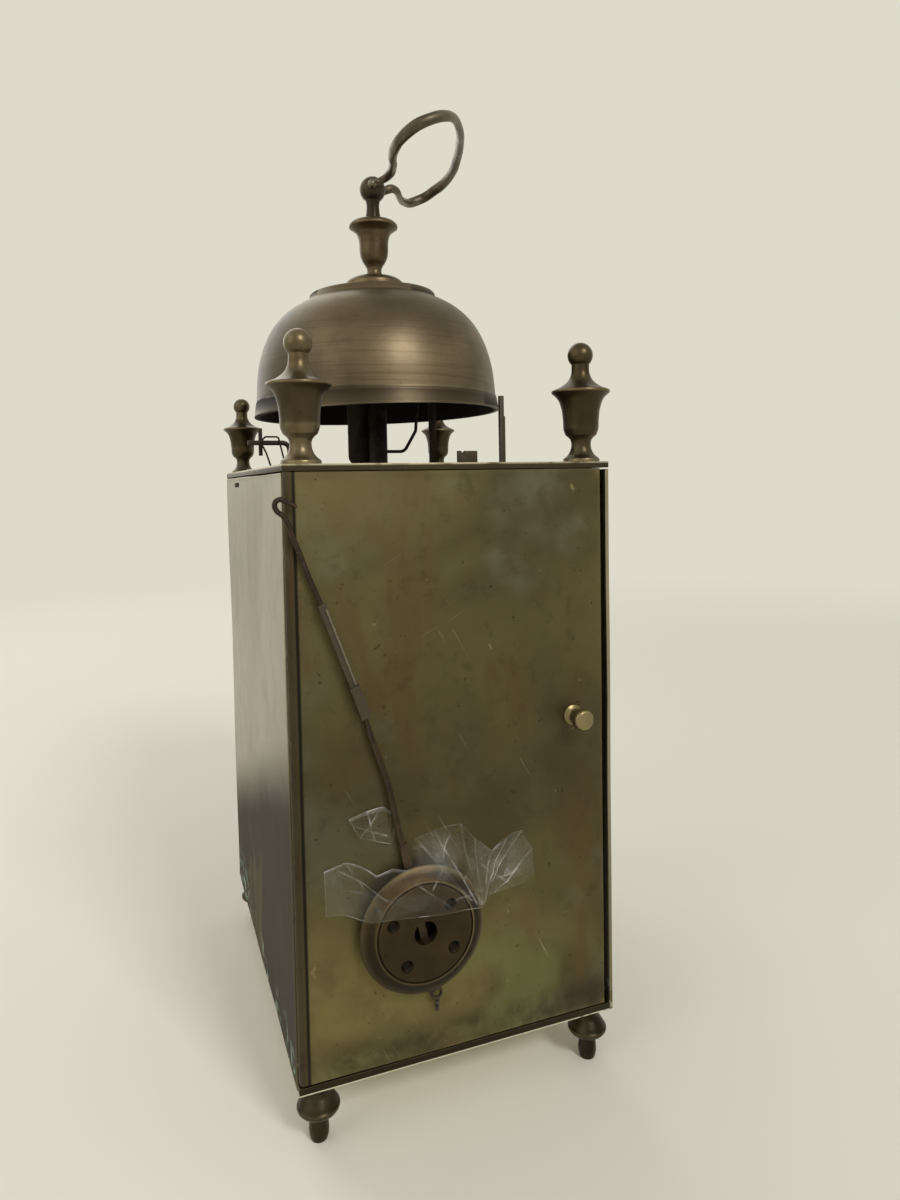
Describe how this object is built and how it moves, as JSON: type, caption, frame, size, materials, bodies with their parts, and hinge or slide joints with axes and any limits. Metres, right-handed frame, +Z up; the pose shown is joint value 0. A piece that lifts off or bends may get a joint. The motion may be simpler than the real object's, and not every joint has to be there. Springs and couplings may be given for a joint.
{
  "type": "pendulette clock",
  "caption": "Tall brass travelling clock on turned feet, with a bell and swinging handle on top and the unhooked pendulum taped to its hinged back door.",
  "frame": {"origin": "on the surface that the clock stands on, under the centre of the case", "axes": "+Z up, -Y out of the dial, +Y out of the back door, +X towards the door's hinge"},
  "size_m": [0.1126, 0.1625, 0.3321],
  "materials": {
    "case_brass": "aged sheet brass with brown and olive patina",
    "turned_brass": "turned and worn, dark in the hollows",
    "bell_bronze": "dark bell metal with fine turning lines",
    "movement_brass": "brushed",
    "bob_brass": "browned, turned",
    "dark_steel": "dark, lightly rusted",
    "rusty_wire": "browned wire",
    "dial_enamel": "glossy white enamel",
    "clear_tape": "clear film"
  },
  "bodies": {
    "case": {"base_plate": "case_brass", "top_plate": "case_brass", "side_panel_left": "case_brass", "side_panel_right": "case_brass", "front_plate": "case_brass", "corner_posts": "case_brass", "foot_front_left": "turned_brass", "foot_front_right": "turned_brass", "foot_back_left": "turned_brass", "foot_back_right": "turned_brass", "finial_front_left": "turned_brass", "finial_front_right": "turned_brass", "finial_back_left": "turned_brass", "finial_back_right": "turned_brass", "door_hinge_pins": "dark_steel", "dial": "dial_enamel", "dial_bezel": "case_brass", "bell_stand": "turned_brass", "bell": "bell_bronze", "bell_washer": "turned_brass", "bell_finial": "turned_brass", "bell_strap": "dark_steel", "check_wire": "dark_steel", "notched_stop": "dark_steel", "movement_front_plate": "movement_brass", "movement_back_plate": "movement_brass", "movement_pillars": "movement_brass", "crown_potence": "movement_brass", "suspension_cock": "movement_brass"},
    "handle": {"carrying_handle": "turned_brass"},
    "door": {"back_door": "case_brass", "door_knob": "turned_brass", "pendulum_hook_rod": "rusty_wire", "pendulum_lath": "rusty_wire", "pendulum_lower_rod": "rusty_wire", "pendulum_bob": "bob_brass", "pendulum_tail": "rusty_wire", "transit_tape": "clear_tape"},
    "strike_hammer_arm": {"strike_hammer": "dark_steel"},
    "alarm_hammer_arm": {"alarm_hammer": "dark_steel"},
    "pull_lever": {"repeat_lever": "dark_steel", "lever_wires": "dark_steel"},
    "minute_arbor": {"centre_wheel": "movement_brass", "cannon_pinion": "movement_brass", "minute_hand": "dark_steel"},
    "hour_pipe": {"hour_wheel": "movement_brass", "hour_hand": "dark_steel"},
    "motion_wheel": {"minute_wheel": "movement_brass"},
    "second_arbor": {"second_wheel": "movement_brass"},
    "going_drum": {"going_barrel": "movement_brass"},
    "contrate_arbor": {"contrate_wheel": "movement_brass"},
    "crown_arbor": {"crown_wheel": "movement_brass"},
    "verge_staff": {"verge": "dark_steel"},
    "alarm_setting": {"alarm_disc": "case_brass"},
    "going_winder": {"going_winding_arbor": "dark_steel"},
    "strike_winder": {"strike_winding_arbor": "dark_steel"},
    "pin_arbor": {"pin_wheel": "movement_brass"},
    "strike_drum": {"strike_barrel": "movement_brass"},
    "warning_arbor": {"warning_wheel": "movement_brass"},
    "fly_arbor": {"fly": "movement_brass"}
  },
  "joints": [
    {"name": "handle_swing", "type": "hinge", "parent": "case", "child": "handle", "pos_m": [0, -0.012, 0.3131], "axis": [0.2874, 0.9578, 0], "range_deg": [0, 128]},
    {"name": "door_hinge", "type": "hinge", "parent": "case", "child": "door", "pos_m": [0.05155, 0.07305, 0.11], "axis": [0, 0, -1], "range_deg": [0, 95]},
    {"name": "strike_hammer_lift", "type": "hinge", "parent": "case", "child": "strike_hammer_arm", "pos_m": [-0.043, 0, 0.17], "axis": [0, -1, 0], "range_deg": [0, 3.5], "stiffness_Nm_per_rad": 0.05, "springref_deg": -1.72},
    {"name": "alarm_hammer_lift", "type": "hinge", "parent": "case", "child": "alarm_hammer_arm", "pos_m": [-0.016, 0, 0.184], "axis": [0, -1, 0], "range_deg": [0, 2], "stiffness_Nm_per_rad": 0.08, "springref_deg": -2.86},
    {"name": "pull_lever_turn", "type": "hinge", "parent": "case", "child": "pull_lever", "pos_m": [0.0429, 0.03, 0.2], "axis": [0, 0, 1], "range_deg": [-20, 20]},
    {"name": "minute_turn", "type": "hinge", "parent": "case", "child": "minute_arbor", "pos_m": [0, 0, 0.14], "axis": [0, 1, 0], "continuous": true},
    {"name": "hour_turn", "type": "hinge", "parent": "case", "child": "hour_pipe", "pos_m": [0, 0, 0.14], "axis": [0, 1, 0], "continuous": true},
    {"name": "motion_wheel_turn", "type": "hinge", "parent": "case", "child": "motion_wheel", "pos_m": [0, 0, 0.1256], "axis": [0, 1, 0], "continuous": true},
    {"name": "second_wheel_turn", "type": "hinge", "parent": "case", "child": "second_arbor", "pos_m": [0.0224, 0, 0.14032], "axis": [0, 1, 0], "continuous": true},
    {"name": "going_barrel_turn", "type": "hinge", "parent": "case", "child": "going_drum", "pos_m": [0.0205, 0, 0.118], "axis": [0, 1, 0], "continuous": true},
    {"name": "contrate_turn", "type": "hinge", "parent": "case", "child": "contrate_arbor", "pos_m": [0, 0, 0.1616], "axis": [0, 1, 0], "continuous": true},
    {"name": "crown_wheel_turn", "type": "hinge", "parent": "case", "child": "crown_arbor", "pos_m": [0, -0.03166, 0.175], "axis": [0, 0, 1], "continuous": true},
    {"name": "verge_swing", "type": "hinge", "parent": "case", "child": "verge_staff", "pos_m": [0, 0, 0.1908], "axis": [0, 1, 0], "range_deg": [-12, 12]},
    {"name": "alarm_setting_turn", "type": "hinge", "parent": "case", "child": "alarm_setting", "pos_m": [0, 0, 0.14], "axis": [0, 1, 0], "continuous": true},
    {"name": "going_winding_turn", "type": "hinge", "parent": "case", "child": "going_winder", "pos_m": [0.0205, 0, 0.118], "axis": [0, 1, 0], "continuous": true},
    {"name": "strike_winding_turn", "type": "hinge", "parent": "case", "child": "strike_winder", "pos_m": [-0.0205, 0, 0.118], "axis": [0, 1, 0], "continuous": true},
    {"name": "pin_wheel_turn", "type": "hinge", "parent": "case", "child": "pin_arbor", "pos_m": [-0.0224, 0, 0.14032], "axis": [0, 1, 0], "continuous": true},
    {"name": "strike_barrel_turn", "type": "hinge", "parent": "case", "child": "strike_drum", "pos_m": [-0.0205, 0, 0.118], "axis": [0, 1, 0], "continuous": true},
    {"name": "warning_wheel_turn", "type": "hinge", "parent": "case", "child": "warning_arbor", "pos_m": [-0.02615, 0, 0.16159], "axis": [0, 1, 0], "continuous": true},
    {"name": "fly_turn", "type": "hinge", "parent": "case", "child": "fly_arbor", "pos_m": [-0.02615, 0, 0.17839], "axis": [0, 1, 0], "continuous": true}
  ],
  "couplings": [
    {"joint": "hour_turn", "follows": "minute_turn", "ratio": 0.083333},
    {"joint": "motion_wheel_turn", "follows": "minute_turn", "ratio": -0.33333},
    {"joint": "second_wheel_turn", "follows": "minute_turn", "ratio": -0.16667},
    {"joint": "going_barrel_turn", "follows": "minute_turn", "ratio": 0.027778},
    {"joint": "contrate_turn", "follows": "minute_turn", "ratio": -8},
    {"joint": "crown_wheel_turn", "follows": "minute_turn", "ratio": -48},
    {"joint": "strike_barrel_turn", "follows": "pin_wheel_turn", "ratio": -0.16667},
    {"joint": "warning_wheel_turn", "follows": "pin_wheel_turn", "ratio": -8},
    {"joint": "fly_turn", "follows": "pin_wheel_turn", "ratio": 48}
  ]
}
